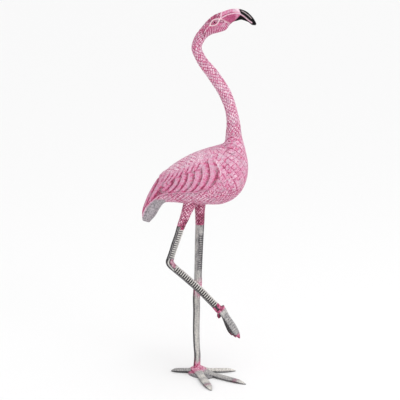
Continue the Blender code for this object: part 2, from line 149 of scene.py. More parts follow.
wing = {
    "edge": [
        (38, 634), (47, 607), (55, 592), (58, 580), (57, 568), (50, 555), (38, 543), (22, 534), (-2, 528),
        (-46, 526), (-78, 521), (-98, 513), (-119, 493), (-132, 476), (-141, 455), (-150, 434),
    ],
    "top": [(-175, 560), (-120, 580), (-85, 590), (-57, 597), (-38, 607), (-14, 617), (14, 625), (38, 634)],
    "rowLine": [
        (-175, 470), (-125, 500), (-96, 527), (-70, 549), (-54, 562), (-38, 572), (-14, 579), (8, 587),
        (24, 604), (38, 634),
    ],
    # each row's first and last feather edge as root, bulge and tip, and how deep its grooves are
    "lower": {"count": 7, "crowding": 1.0, "groove": 1.0, "first": [(47, 611), (69, 575), (31, 538)],
              "last": [(-56, 558), (-72, 528), (-101, 517)]},
    "upper": {"count": 10, "crowding": 0.85, "groove": 0.6, "first": [(29, 612), (20, 586), (3, 580)],
              "last": [(-90, 562), (-96, 552), (-106, 540)]},
    "flight": {"count": 3, "crowding": 1.0, "groove": 0.9, "first": [(-84, 546), (-106, 516), (-131, 480)],
               "last": [(-112, 552), (-130, 512), (-143, 466)]},
    "flightStart": -90,
    "raise": 4.0, "covertRaise": 1.8, "step": 3.2, "grooveDepth": 1.5, "grooveWidth": 1.6,  # mm
    "rim": 4.0,  # mm, the smooth border below the feathers' tips
    "shoulder": (20, 34),  # the border ends here
    "fade": (10.0, 26.0),  # mm below the line on the back, over which the feathers grow out of it
    "ridges": [
        [(41, 628), (36, 620), (31, 610), (28, 600)],
        [(41, 628), (47, 614), (52, 605), (57, 595), (61, 587), (62, 579)],
    ],
    "ridgeRaise": 1.3, "ridgeWidth": 1.7,  # mm
    # front: crimson wash behind each feather's front edge, deepened by painted shade under the feather
    # before it
    "levels": {"front": 0.12, "middle": 0.39, "rear": 0.34, "groove": -0.45, "border": 0.74,
               "borderGroove": -0.62, "ridge": 0.25},
}

face = {
    "mouth": [(65, 977), (75, 983), (88, 987), (101, 989), (111, 987), (121, 981), (134, 970), (147, 961)],
    "beakRidge": [(65, 997), (62, 982), (61, 975), (67, 972), (75, 968), (85, 963)],
    "eye": (46, 966), "eyeSlant": 34, "eyeRim": (14, 6.5), "eyeTail": [(34, 958), (27, 951), (20, 941)],
    "eyeRadius": 4.6, "eyeHalfWidth": 17.2,
    "crownStripe": 15.0,  # degrees, seen from the eye
    "flecks": 1.2,  # how strongly the neck's scales go on behind and above the eye
    # the streak along the upper beak is a painted highlight, laid on in cream
    "beakHighlight": [(116, 994.5), (124, 990), (133, 983.5), (141, 975.5)],
    "lip": 0.9, "ridge": 0.9, "rimHeight": 1.0, "cheekDepth": 0.6, "cut": 0.5,  # heights in mm
    "lipWidth": 1.5, "ridgeWidth": 1.5, "tailWidth": 1.4, "highlightWidth": 0.75, "cutWidth": 0.9,  # mm
    "cheekStripe": 4.6, "stripeCentre": (40, 1000),  # degrees between stripes, seen from that point
    "upperBlack": 111, "lowerBlack": 101,  # where the black begins, x
    "plain": 0.37,
    # what each mark adds to the plain level, and how much cream lies on it
    "levels": {"ridge": 0.40, "rim": 0.50, "tail": 0.22, "lip": 0.45, "upperGroove": -0.55, "behind": -0.35,
               "stripeGap": -0.45, "stripe": 0.28, "crownLines": -0.42, "inEye": -0.30, "flecks": 0.07,
               "brow": 0.08, "browTip": 0.40, "jaw": -0.06},
    # the cream on the beak's streak is a painted highlight
    "cream": {"rim": 0.85, "tail": 0.18, "ridge": 0.4, "streak": 0.9},
}

scales = {
    # mm from a steep line to the next, the same for the shallow lines, both families' slopes in degrees
    # above level, how strongly the scales are pressed, and the grooves' half width as a share of a scale
    "chest": (14.5, 9.0, 62, 38, 0.75, 0.10),
    "belly": (8.5, 6.5, 55, 35, 0.8, 0.20),
    "back": (8.5, 7.0, 55, 30, 0.75, 0.20),
    "neck": (7.6, 5.8, 50, 30, 0.9, 0.20),
    "centre": (25, 566), "girth": 88, "reach": 108, "straightFrom": 0.6,
    "chestFrom": 528,
    "depth": 0.9,  # mm that the grooves between the scales go down
}


def birdSections():
    parts = "trunk", "neck", "head"
    table = np.concatenate([bird[part] for part in parts])
    along = tableRun(table)
    ends = along[np.cumsum([len(bird[part]) for part in parts]) - 1]
    stops = [np.linspace(start, end, bird[part + "Rows"], endpoint=part == "head")
             for part, start, end in zip(parts, [0, *ends], ends)]
    return smoothRows(table, np.concatenate(stops))


def sectionRings(rows, around):
    angle = np.linspace(0, 2 * np.pi, around, endpoint=False)
    back, belly, width = rows[:, None, 0:2], rows[:, None, 2:4], rows[:, None, 4]
    middle, reach = (back + belly) / 2, (back - belly) / 2
    share, fullWidth = bird["droop"]
    droop = share * np.minimum(1, width / fullWidth)
    rings = np.zeros((len(rows), around, 3))
    rings[..., [0, 2]] = middle + reach * np.cos(angle)[None, :, None]
    rings[..., 1] = width * np.sin(angle) * (1 - droop * np.cos(angle))
    return rings * unit


def gridNormals(rings):
    along = np.gradient(rings, axis=0)
    around = np.roll(rings, -1, axis=1) - np.roll(rings, 1, axis=1)
    normal = np.cross(around, along)
    normal /= np.maximum(np.linalg.norm(normal, axis=2, keepdims=True), 1e-12)
    outward = rings - rings.mean(axis=1, keepdims=True)
    return normal * np.sign((normal * outward).sum(axis=2).mean())


# Every feather rises to its rear edge and drops there to the next one. Returns the share of the way
# across the feather, and how deep in the groove at its edge a point lies.
def featherRow(x, z, feathers):
    first, last = np.array(feathers["first"], float), np.array(feathers["last"], float)
    edges, slants = [], []
    for share in np.linspace(0, 1, feathers["count"]) ** feathers["crowding"]:
        edgeX, edgeZ = bentLine(first * (1 - share) + last * share)[::-1].T
        edges.append(np.interp(z, edgeZ, edgeX))
        slants.append(1 / np.hypot(1, np.interp(z, edgeZ, np.gradient(edgeX, edgeZ))))
    edges, slants = np.array(edges), np.array(slants)
    pitch = np.maximum(edges[:-1] - edges[1:], 2).mean(axis=0)
    ahead = (x < edges).sum(axis=0)
    bounds = np.concatenate([[edges[0] + pitch], edges, [edges[-1] - pitch]])
    front, rear = (np.take_along_axis(bounds, (ahead + k)[None], 0)[0] for k in (0, 1))
    across = np.clip((front - x) / np.maximum(front - rear, 1), 0, 1) * (ahead > 0)
    nearest = (np.abs(x - edges) * slants).min(axis=0)
    return across, hump(nearest * toMm, wing["grooveWidth"])


# Height in metres, paint level from 0 in the grooves to 1 on the high places, where the wing is, the
# shade round it, and the ridges in front of it.
def wingRelief(points):
    x, z = points[..., 0], points[..., 1]
    inside = insideOutline(x, z, wing["edge"] + wing["top"])
    edge = fromLine(points, wing["edge"])
    fade = stepUp(fromLine(points, wing["top"]), *wing["fade"])
    cover = inside * stepUp(edge, 0, 2.4)
    rowX, rowZ = np.array(wing["rowLine"], float).T
    above = (z - np.interp(x, rowX, rowZ)) * toMm
    upper = stepUp(above, 0, 2.2)
    flight = stepDown(x - wing["flightStart"], -6, 6)
    shares = {"lower": (1 - flight) * (1 - upper), "upper": (1 - flight) * upper, "flight": flight}
    rows = {name: featherRow(x, z, wing[name]) for name in shares}
    across = sum(share * rows[name][0] for name, share in shares.items())
    groove = sum(share * rows[name][1] * wing[name]["groove"] for name, share in shares.items())
    groove = np.maximum(groove, 0.6 * hump(above - 1.0, 1.4) * (1 - flight))  # between the rows
    shoulder = stepUp(x, *wing["shoulder"])
    tips = np.maximum(stepUp(edge, wing["rim"] - 1, wing["rim"] + 2.5), shoulder)
    groove = np.maximum(groove * tips, 0.9 * hump(edge - wing["rim"] - 0.6, 1.5) * (1 - shoulder))
    height = wing["raise"] + wing["covertRaise"] * shares["upper"]
    height += tips * wing["step"] * (across**1.4 - 0.5)
    outer = hump(edge, 1.5) * ~inside * fade
    ridge = np.maximum.reduce([hump(fromLine(points, line), wing["ridgeWidth"]) for line in wing["ridges"]])
    height = cover * (height - wing["grooveDepth"] * groove) * fade
    height += wing["ridgeRaise"] * ridge - 0.5 * wing["grooveDepth"] * outer
    # crimson behind each feather's front edge, lilac over its middle and a pale rim at its rear edge
    level = wing["levels"]
    # the crimson behind each front edge is wash partly deepened as painted shade, where the feather before
    # it steps down
    paint = level["front"] + level["middle"] * stepUp(across, 0.20, 0.50)
    paint += level["rear"] * stepUp(across, 0.78, 0.92) + level["groove"] * groove
    paint += shares["upper"] * (0.04 + 0.10 * (1 - across))
    paint = paint * tips + (1 - tips) * (level["border"] + level["borderGroove"] * groove)
    paint += level["ridge"] * ridge
    return height * mm, paint, cover * fade, outer, ridge * (1 - cover * fade)


# 0 in the middle of the eye and 1 on its rim, which is drawn to a point at both corners
def eyeRing(x, z):
    slant = np.radians(face["eyeSlant"])
    x, z = x - face["eye"][0], z - face["eye"][1]
    along = (x * np.cos(slant) + z * np.sin(slant)) / face["eyeRim"][0]
    across = (z * np.cos(slant) - x * np.sin(slant)) / face["eyeRim"][1]
    return np.hypot(along, across * (1 + 0.55 * along**2))


def bearingFrom(centre, x, z):
    return np.degrees(np.arctan2(z - centre[1], x - centre[0]))


# The head's relief, its paint level, its hand-painted black, cream and crimson, and where flecks go.
def headRelief(points, onHead):
    x, z = points[..., 0], points[..., 1]
    upper = z > np.interp(x, *np.array(face["mouth"], float).T)
    fromMouth = fromLine(points, face["mouth"])
    ahead = stepUp(x, 62, 66)
    lip = hump(fromMouth, face["lipWidth"]) * ahead
    upperGroove = hump(fromMouth - 2.9, face["cutWidth"]) * upper * ahead * stepDown(x, 104, 114)
    lowerGroove = hump(fromMouth - 2.7, face["cutWidth"]) * ~upper * ahead
    ridge = hump(fromLine(points, face["beakRidge"]), face["ridgeWidth"])
    ring = eyeRing(x, z)
    rim = hump(ring - 1, 0.15)
    inEye = stepDown(ring, 0.8, 0.95)
    fromTail = fromLine(points, face["eyeTail"])
    tail = hump(fromTail, face["tailWidth"])
    # streak: the painted highlight along the upper beak
    streak = hump(fromLine(points, face["beakHighlight"]), face["highlightWidth"])
    angle = bearingFrom(face["eye"], x, z)
    under = stepDown(z + 0.5 * (x - 61), 973, 974.5)  # below the ridge that runs back from the chin
    around = stepUp(ring, 1.2, 1.5) * np.maximum(stepDown(x, 58, 62), under)
    beside = around * stepUp(x, 10, 24)
    below = stepDown(angle, -14, -2) * stepUp(angle, -165, -150)
    cheek = beside * below
    fan = bearingFrom(face["stripeCentre"], x, z)
    stripes = (0.5 - 0.5 * np.cos(2 * np.pi * fan / face["cheekStripe"])) ** 0.8 * cheek
    crown = beside * (1 - below) * stepUp(angle, 5, 25)
    crownLines = (0.5 + 0.5 * np.cos(2 * np.pi * angle / face["crownStripe"])) * crown
    height = face["lip"] * lip + face["ridge"] * ridge + face["rimHeight"] * (rim + 0.7 * tail)
    height -= face["cheekDepth"] * (1 - stripes) * cheek
    height -= face["cut"] * (upperGroove + lowerGroove + crownLines + inEye)
    flecks = face["flecks"] * around * np.maximum(1 - below, stepDown(x, 16, 30)) * (1 - rim) * (1 - tail)
    brow = stepUp(x, 66, 72) * upper * (1 - lip)
    marks = {
        "ridge": ridge, "rim": rim, "tail": tail, "lip": lip, "upperGroove": upperGroove,
        "behind": hump(fromTail - 3.4, 1.3),  # dark strokes on both sides of the eye's tail
        "stripeGap": (1 - stripes) * cheek, "stripe": stripes * cheek, "crownLines": crownLines,
        "inEye": inEye, "flecks": flecks, "brow": brow, "browTip": brow * stepUp(x, 88, 104),
        "jaw": ~upper * ahead * stepDown(x, 96, 104) * (1 - lip) * (1 - under), "streak": streak,
    }
    paint = face["plain"] + sum(level * marks[name] for name, level in face["levels"].items())
    cream = np.clip(sum(level * marks[name] for name, level in face["cream"].items()), 0, 1)
    upperBlack = stepUp(x + 0.35 * (z - 990) - face["upperBlack"], 0, 2) * upper
    lowerBlack = stepUp(x - 0.9 * (z - 975) - face["lowerBlack"], 0, 4) * ~upper
    black = np.maximum(upperBlack, lowerBlack) * (1 - hump(fromMouth, 1.15) ** 0.6 * (x < 143))
    # the painted highlight on the beak breaks through the black
    black = np.maximum(black, stepUp(x, 144, 147)) * (1 - 0.65 * streak)
    return [piece * onHead for piece in (height * mm, paint, black, cream, 0.92 * marks["jaw"], flecks)]


# Two families of slanting lines: p grows by one from a line of the steep family to the next, and q across
# the shallow family. The lines are mirrored from one side of the bird to the other.
def scaleMap(rings, onTrunk, plain):
    flat = rings / unit
    x, y, z = flat[..., 0], np.abs(flat[..., 1]), flat[..., 2]
    centreX, centreZ = scales["centre"]
    around = -np.arctan2(y, x - centreX) * scales["girth"] * toMm
    rise, straight = (z - centreZ) / scales["reach"], scales["straightFrom"]
    upward = np.arcsin(np.clip(rise, -1, straight)) + 1.2 * np.maximum(rise - straight, 0)
    upward = upward * scales["reach"] * toMm
    step = np.linalg.norm(rings - np.roll(rings, 1, axis=1), axis=2) / mm
    total = step.sum(axis=1, keepdims=True)
    fromBack = np.cumsum(step, axis=1) - step[:, :1]
    fromBack = np.minimum(fromBack, total - fromBack)
    run = runAlong(rings.mean(axis=1))[:, None] / mm
    front = stepUp(x, -20, 24)
    chest = onTrunk * stepUp(z, scales["chestFrom"], scales["chestFrom"] + 14) * front
    belly = onTrunk * (z <= scales["chestFrom"] + 7)
    back = onTrunk * (1 - belly) * (1 - front)
    regions = [
        (chest > 0.5, "chest", around, upward), (belly > 0.5, "belly", x * toMm, -(total / 2 - fromBack)),
        (back > 0.5, "back", x * toMm, -fromBack), (onTrunk < 0.5, "neck", run + 0 * fromBack, fromBack),
    ]
    fields = [np.zeros(x.shape)] * 4
    for picked, name, across, up in regions:
        steepPitch, shallowPitch, steep, shallow, depth, share = scales[name]
        steep, shallow = np.radians(steep), np.radians(shallow)
        values = ((across * np.sin(steep) + up * np.cos(steep)) / steepPitch,
                  (across * np.sin(shallow) - up * np.cos(shallow)) / shallowPitch, depth, share)
        fields = [np.where(picked, value, field) for value, field in zip(values, fields)]
    p, q, strength, groove = fields
    return p, q, strength * plain, np.maximum(groove * plain, 0.02)


# Faces between rings of point numbers, and from a ring to the point that closes it. Which side of them is
# out is settled when the mesh is made.
def tubeFaces(rings):
    return [face for ringA, ringB in zip(rings[:-1], rings[1:])
            for face in np.stack([ringA, np.roll(ringA, -1), np.roll(ringB, -1), ringB], axis=1).tolist()]


def capFaces(ring, point):
    return [[point, a, b] for a, b in zip(ring, np.roll(ring, -1))]


# The last ring of the trunk has two points for each one of the neck's first ring.
def seamFaces(seam, first):
    faces = []
    for k, corner in enumerate(first):
        a, b, c = seam[2 * k], seam[2 * k + 1], seam[(2 * k + 2) % len(seam)]
        faces += [[a, b, corner], [b, c, first[(k + 1) % len(first)], corner]]
    return faces


# A part of the casting with what its paint reads: level, painted zones, scale lines, and the grooves'
# half width, which also says how grainy the paint is. Slot 0 is the pink paint, 1 the grey.
def makePiece(slot, verts, faces, paint, lattice=(0, 0, 0), groove=0.2, **painted):
    nothing = np.zeros(len(verts))
    zones = [painted.get(name, 0) for name in ("black", "metal", "crimson", "cream")]
    zones, lattice = (np.stack([nothing + part for part in parts], axis=1) for parts in (zones, lattice))
    return {"verts": verts, "faces": faces, "slot": slot, "paint": nothing + paint, "zones": zones,
            "lattice": lattice, "groove": nothing + groove}


def buildBird():
    rows = birdSections()
    rings = sectionRings(rows, bird["trunkAround"])
    normals = gridNormals(rings)
    trunkRows, headStart = bird["trunkRows"], bird["trunkRows"] + bird["neckRows"]
    index = np.arange(len(rows))[:, None] + np.zeros((1, rings.shape[1]))
    onTrunk = (index < trunkRows).astype(float)
    onHead = stepUp(index - headStart, *bird["headBlend"])
    points = rings[..., [0, 2]] / unit
    x, z = points[..., 0], points[..., 1]
    flank = stepUp(np.abs(rings[..., 1]) / mm, 0, 6)
    wingFields = (field * onTrunk * flank for field in wingRelief(points))
    wingHeight, wingPaint, wingCover, wingEdgeShade, ridge = wingFields
    headHeight, headPaint, black, cream, crimson, flecks = headRelief(points, onHead)
    weld = hump((z - bird["weldHeight"]) * toMm, bird["weldWidth"]) * (x > 60) * (z > 600)
    height = wingHeight + headHeight - bird["weldDepth"] * mm * weld
    level = bird["levels"]
    plain = level["plain"] + level["back"] * onTrunk * stepDown(x, 0, 36) * stepUp(z, 540, 580)
    plain += level["breast"] * onTrunk * stepUp(x, 50, 80) + level["neck"] * hump(z - 780, 75)
    paint = plain * (1 - wingCover) * (1 - onHead) + wingPaint * wingCover + headPaint
    # painted shade in the groove along the wing's edge, below the raised feathers
    paint += (0.1 + 0.35 * stepDown(z, 600, 618)) * ridge - 0.45 * wingEdgeShade - 0.2 * weld
    # bare metal shows under the tail, below the folded wings
    tail = onTrunk * (1 - wingCover) * stepDown(x, -86, -80) * stepDown(z, 500, 508)
    p, q, strength, groove = scaleMap(rings, onTrunk, (1 - wingCover) * (1 - onHead + flecks))
    strength = strength * (1 - tail) * (1 - 0.7 * weld) * (1 - ridge)

    def gather(field):  # all points of the trunk's rings and every second one of the others
        parts = field[:trunkRows], field[trunkRows:, ::2]
        return np.concatenate([part.reshape(part.shape[0] * part.shape[1], -1) for part in parts])

    def padded(field):  # with the two points that close the ends
        column = gather(field)[:, 0]
        return np.concatenate([column, [column[0], column[-1]]])

    rings = rings + normals * height[..., None]
    verts = gather(rings)
    split, count = trunkRows * rings.shape[1], len(verts)
    trunk = np.arange(split).reshape(trunkRows, -1)
    neck = np.arange(split, count).reshape(len(rows) - trunkRows, -1)
    verts = np.concatenate([verts, [rings[0].mean(axis=0), rings[-1].mean(axis=0)]])
    faces = tubeFaces(trunk) + seamFaces(trunk[-1], neck[0]) + tubeFaces(neck)
    faces += capFaces(trunk[0], count) + capFaces(neck[-1], count + 1)
    lattice = [padded(field) for field in (p, q, strength)]
    return makePiece(0, verts, faces, padded(paint), lattice, padded(groove), black=padded(black),
                     metal=padded(tail), crimson=padded(crimson), cream=padded(cream))


# limbs

legs = {
    # x, z, radius down each leg
    "standing": [
        (8, 520, 21), (8, 486, 17), (8, 470, 14.5), (8, 430, 12.3), (6, 380, 11.5), (4, 318, 10.6),
        (3, 285, 10.5), (3, 262, 10.8), (1, 240, 11), (-1, 222, 10.2), (-1, 182, 9.6), (-2, 120, 9.2),
        (-1, 81, 9), (1, 50, 8.9), (0, 24, 9.6), (0, 6, 12),
    ],
    "raised": [
        (-12, 515, 21), (-20, 488, 17), (-27, 469, 14), (-33, 452, 12.6), (-42, 430, 10.6),
        (-50, 404, 9.8), (-59, 378, 9.7), (-66, 356, 9.3), (-71, 340, 9.8), (-73, 330, 10.8),
        (-68, 321, 10.6), (-61, 314, 10), (-39.6, 295.4, 9.8), (-5, 264, 9.6), (10, 250, 9.6),
        (29, 230, 9.6), (48, 210, 9.8), (58, 199, 10.8), (66, 190, 9),
    ],
    "offset": 22,
    "sides": 28, "points": 150,
    "scuteHeight": 0.085,  # share of the leg's radius
    "scuteSweep": 236,  # degrees round the front of the leg
    # the scutes' size as a share of the full one, the share of their pitch that they fill, then start and
    # end along the leg and pitch in mm for each stretch of them
    "standingScutes": (0.955, 0.76, [(0.24, 0.43, 6.0)]),
    "raisedScutes": (1.0, 0.54, [(0.225, 0.465, 5.7), (0.56, 0.945, 6.1)]),
    "noScutes": (0.999, 1.0, 6.0),  # a second stretch that is lost inside the leg's end
    "thighScales": (14, 9.0, 7.5),  # the radius they run round and both families' pitches, mm
    # how pale each leg is painted and what some places add; thigh, hock and ankle have their own level
    "standingLevels": {"plain": 0.58, "lower": 0.11, "lowerRear": -0.74, "front": -0.34, "lowerFront": 0.20,
                       "knee": 0.10, "gap": -0.32, "thigh": 0.50, "patch": -0.30, "ankle": -0.25},
    "raisedLevels": {"plain": 0.78, "rear": -0.95, "scute": 0.92, "upperScute": 0.06, "scuteSide": -0.14,
                     "gap": -0.28, "gapSide": -0.86, "upperGapSide": 0.50, "thigh": 0.57, "patch": -0.42,
                     "hock": 0.46, "hockStripe": -0.50, "hockPale": 0.46, "ankle": 0.44},
}

foot = {
    # bearing in degrees, length, and how pale it is painted
    "toes": {"inner": (6, 108, 0.94), "middle": (-34.5, 160, 0.82), "outer": (-74.5, 141, 0.84),
             "hind": (171, 73, 0.66)},
    "width": 27, "thick": 14, "soleShare": 0.42, "rootRise": 0.3, "rootFlare": 0.3,
    "claw": 0.16,  # share of the toe
    # the palm's outline, bearing and reach, and how it narrows as it rises
    "web": [
        (-180, 22), (-150, 27), (-120, 32), (-100, 38), (-88, 42), (-72, 58), (-54, 60), (-38, 62),
        (-30, 52), (-14, 36), (5, 40), (18, 24), (60, 20), (180, 22),
    ],
    "palmRise": [(0.0, 1.0), (0.2, 1.0), (0.38, 0.96), (0.5, 0.88), (0.62, 0.72), (0.72, 0.5), (0.8, 0.3)],
    "palmSides": 60, "palmLevel": 0.42,
    # the raised toes part here, x and z; then each tip's offset, width share and how pale it is painted
    "raisedRoot": (64, 201),
    # the toes behind the outer one are painted darker, as painted shade
    "raised": {"outer": (52, -13, -81, 0.95, 0.62), "middle": (42, 3, -84, 0.85, 0.34),
               "inner": (32, 14, -82, 0.85, 0.30), "hind": (-5, 3, -30, 0.6, 0.50)},
    "raisedLevel": (0.45, -0.75, 0.45), "raisedBow": (0.01, 0, 0.01), "raisedThick": 0.85,
    "spread": 0.45, "rows": 34, "sides": 16, "creasePitch": 5.0, "creaseDepth": 0.5, "clawCut": 0.8,  # mm
}


def feed(tree, node, inputs):
    for key, value in inputs.items():
        if isinstance(value, bpy.types.NodeSocket):
            tree.links.new(value, node.inputs[key])
        else:
            node.inputs[key].default_value = value


def addNode(tree, kind, inputs=None, **settings):
    node = tree.nodes.new(kind)
    for name, value in settings.items():
        setattr(node, name, value)
    feed(tree, node, inputs or {})
    return node.outputs


def calculate(tree, operation, *operands):
    return addNode(tree, "ShaderNodeMath", dict(enumerate(operands)), operation=operation)[0]


def remap(tree, value, fromMin, fromMax, toMin, toMax, bend="LINEAR"):
    spans = {"Value": value, "From Min": fromMin, "From Max": fromMax, "To Min": toMin, "To Max": toMax}
    return addNode(tree, "ShaderNodeMapRange", spans, interpolation_type=bend)[0]


# how far a point is from the nearest line of either family, as a share of a scale
def lineGap(tree, p, q):
    return calculate(tree, "MINIMUM", *(calculate(tree, "PINGPONG", part, 0.5) for part in (p, q)))


def startTree(name, inputs):
    tree = bpy.data.node_groups.new(name, "GeometryNodeTree")
    for label, kind in inputs.items():
        tree.interface.new_socket(label, in_out="INPUT", socket_type="NodeSocket" + kind)
    tree.interface.new_socket("Geometry", in_out="OUTPUT", socket_type="NodeSocketGeometry")
    return tree, addNode(tree, "NodeGroupInput")


def finishTree(tree, geometry, material):
    realised = addNode(tree, "GeometryNodeRealizeInstances", {"Geometry": geometry})[0]
    finished = addNode(tree, "GeometryNodeSetMaterial", {"Geometry": realised, "Material": material})[0]
    addNode(tree, "NodeGroupOutput", {"Geometry": finished})
    return tree


scuteSpans = [[part + end for end in (" Start", " End", " Pitch")] for part in ("First", "Second")]


# A round limb swept along its curve, with horny scutes laid across its front at an even pitch.
def limbTree():
    inputs = {"Geometry": "Geometry", "Scute": "Object", "Sides": "Int", "Finish": "Material",
              "Rise": "Float", "Cover": "Float"}
    inputs.update({name: "Float" for names in scuteSpans for name in names})
    tree, given = startTree("limbWithScutes", inputs)
    circle = {"Resolution": given["Sides"], "Radius": 1.0}
    profile = addNode(tree, "GeometryNodeCurvePrimitiveCircle", circle)["Curve"]
    radius = addNode(tree, "GeometryNodeInputRadius")[0]
    tube = addNode(tree, "GeometryNodeCurveToMesh", {
        "Curve": given["Geometry"], "Profile Curve": profile, "Scale": radius, "Fill Caps": True})
    template = addNode(tree, "GeometryNodeObjectInfo", {"Object": given["Scute"]})
    size = calculate(tree, "MULTIPLY", radius, given["Rise"])
    tangent = addNode(tree, "GeometryNodeInputTangent")[0]
    alongLeg = addNode(tree, "FunctionNodeAlignRotationToVector", {"Vector": tangent}, axis="Z")[0]
    facing = addNode(tree, "FunctionNodeAlignRotationToVector", {"Rotation": alongLeg, "Vector": (0, 1, 0)},
                     axis="Y", pivot_axis="Z")[0]
    joined = tree.nodes.new("GeometryNodeJoinGeometry")
    feed(tree, joined, {"Geometry": tube["Mesh"]})
    for start, end, pitch in scuteSpans:
        span = addNode(tree, "GeometryNodeTrimCurve",
                       {"Curve": given["Geometry"], 2: given[start], 3: given[end]}, mode="FACTOR")
        beads = addNode(tree, "GeometryNodeResampleCurve",
                        {"Curve": span["Curve"], "Length": given[pitch]}, mode="LENGTH")
        length = calculate(tree, "MULTIPLY", given[pitch], given["Cover"])
        scale = addNode(tree, "ShaderNodeCombineXYZ", {0: size, 1: size, 2: length})[0]
        placed = addNode(tree, "GeometryNodeInstanceOnPoints", {
            "Points": beads["Curve"], "Instance": template["Geometry"], "Rotation": facing, "Scale": scale})
        feed(tree, joined, {"Geometry": placed["Instances"]})
    return finishTree(tree, joined.outputs[0], given["Finish"])


# The object's mesh as its Geometry Nodes leave it; the object itself goes.
def shapedArrays(holder, tree, values):
    modifier = holder.modifiers.new(tree.name, "NODES")
    modifier.node_group = tree
    for item in tree.interface.items_tree:
        if item.item_type == "SOCKET" and item.in_out == "INPUT" and item.name in values:
            modifier[item.identifier] = values[item.name]
    mesh = bpy.data.meshes.new_from_object(holder.evaluated_get(bpy.context.evaluated_depsgraph_get()))
    bpy.data.objects.remove(holder)
    verts = np.zeros(len(mesh.vertices) * 3)
    mesh.vertices.foreach_get("co", verts)
    return verts.reshape(-1, 3), [list(polygon.vertices) for polygon in mesh.polygons]


def addObject(name, data):
    made = bpy.data.objects.new(name, data)
    bpy.context.scene.collection.objects.link(made)
    return made


def turnNormalsOut(mesh):
    shaped = bmesh.new()
    shaped.from_mesh(mesh)
    bmesh.ops.recalc_face_normals(shaped, faces=shaped.faces)
    shaped.to_mesh(mesh)
    shaped.free()


# One scute: a bent pillow of length 1 across the front of a leg of radius 1. -X is its front and Z runs
# along the leg.
def scuteTemplate():
    half, full = np.radians(legs["scuteSweep"] / 2), 0.07 + legs["scuteHeight"]
    turns, spans = np.linspace(-half, half, 17), np.linspace(-1, 1, 5)
    verts = []
    for turn in turns:
        ends = np.sqrt(np.clip(1 - (turn / half) ** 4, 0, 1))
        outline = [(0.93 + full * np.sqrt(1 - span**2) * ends, 0.5 * span) for span in spans] + [(0.9, 0)]
        verts += [(-reach * np.cos(turn), reach * np.sin(turn), z) for reach, z in outline]
    rings = np.arange(len(verts)).reshape(len(turns), -1)
    mesh = bpy.data.meshes.new("scute")
    mesh.from_pydata(verts, [], tubeFaces(rings) + rings[[0, -1]].tolist())
    turnNormalsOut(mesh)
    return addObject("scute", mesh)


def buildLeg(name, side, tree, template, finish):
    rise, cover, spans = legs[name + "Scutes"]
    rows = smoothRows(legs[name], count=legs["points"])
    path = np.insert(rows[:, :2], 1, side * legs["offset"], axis=1) * unit
    curve = bpy.data.curves.new(name + "Leg", "CURVE")
    curve.dimensions = "3D"
    spline = curve.splines.new("POLY")
    spline.points.add(len(rows) - 1)
    for point, place, radius in zip(spline.points, path, rows[:, 2]):
        point.co = (*place, 1)
        point.radius = radius * unit
    values = {"Scute": template, "Sides": legs["sides"], "Rise": rise, "Cover": cover, "Finish": finish}
    for names, (start, end, pitch) in zip(scuteSpans, spans + [legs["noScutes"]]):
        values.update(zip(names, (start, end, pitch * mm)))
    verts, faces = shapedArrays(addObject(name + "Leg", curve), tree, values)
    # where each point lies: along the leg, out from its axis, and round it from the front
    gaps = np.linalg.norm(verts[:, None] - path[None], axis=2)
    nearest = gaps.argmin(axis=1)
    tangent = np.gradient(path, axis=0)
    front = unitVectors(np.stack([-tangent[:, 2], 0 * tangent[:, 0], tangent[:, 0]], axis=1))
    away = verts - path[nearest]
    turn = np.degrees(np.arctan2(np.abs(away[:, 1]), (away * front[nearest]).sum(axis=1)))
    run = tableRun(rows)[nearest] / tableRun(rows)[-1]
    proud = gaps.min(axis=1) / (rows[nearest, 2] * unit)
    ringed = np.maximum.reduce([stepUp(run, low - 0.006, low) * stepDown(run, high, high + 0.006)
                                for low, high, _ in spans]) * (turn < legs["scuteSweep"] / 2)
    at = {"x": verts[:, 0] / unit, "z": verts[:, 2] / unit, "run": run, "turn": turn,
          "ringed": ringed, "between": ringed * (proud < 1.004)}
    return verts, faces, at


def raisedPaint(at):
    x, z, run, turn, ringed, between = at.values()
    level, upper = legs["raisedLevels"], z > 330
    paint = level["plain"] + level["rear"] * stepUp(turn, 122, 142)
    scute = level["scute"] + level["upperScute"] * upper + level["scuteSide"] * stepUp(turn, 60, 120)
    paint = np.where(ringed > 0, scute, paint)
    middle = stepUp(turn, 26, 52)  # away from the leg's front edge
    paint += between * (level["gap"] + (level["gapSide"] + level["upperGapSide"] * upper) * middle)
    thigh = stepUp(z, 424, 438)
    patch = stepUp(z, 418, 424) * stepDown(z, 442, 452) * stepDown(turn, 80, 96)
    paint = np.where(thigh + patch > 0.5, level["thigh"] + level["patch"] * patch, paint)
    hock = stepDown(np.hypot(x + 70, z - 326), 13, 20)
    stripe = 0.8 * hump(turn - 92, 7) + 1.2 * stepUp(turn, 117, 130)
    hockPaint = level["hock"] + level["hockStripe"] * stripe + level["hockPale"] * hump(turn - 106, 7)
    paint = np.where(hock > 0.5, hockPaint, paint)
    ankle = stepUp(run, 0.925, 0.945)
    black = hump(turn - 88, 30)
    paint = paint * (1 - ankle) + level["ankle"] * ankle * (1 - black)
    hockBlush, ankleBlush = 0.42 * hock * stepDown(turn, 78, 100), ankle * (1 - 0.85 * black)
    return paint, np.maximum.reduce([thigh, patch, hockBlush, ankleBlush]), thigh


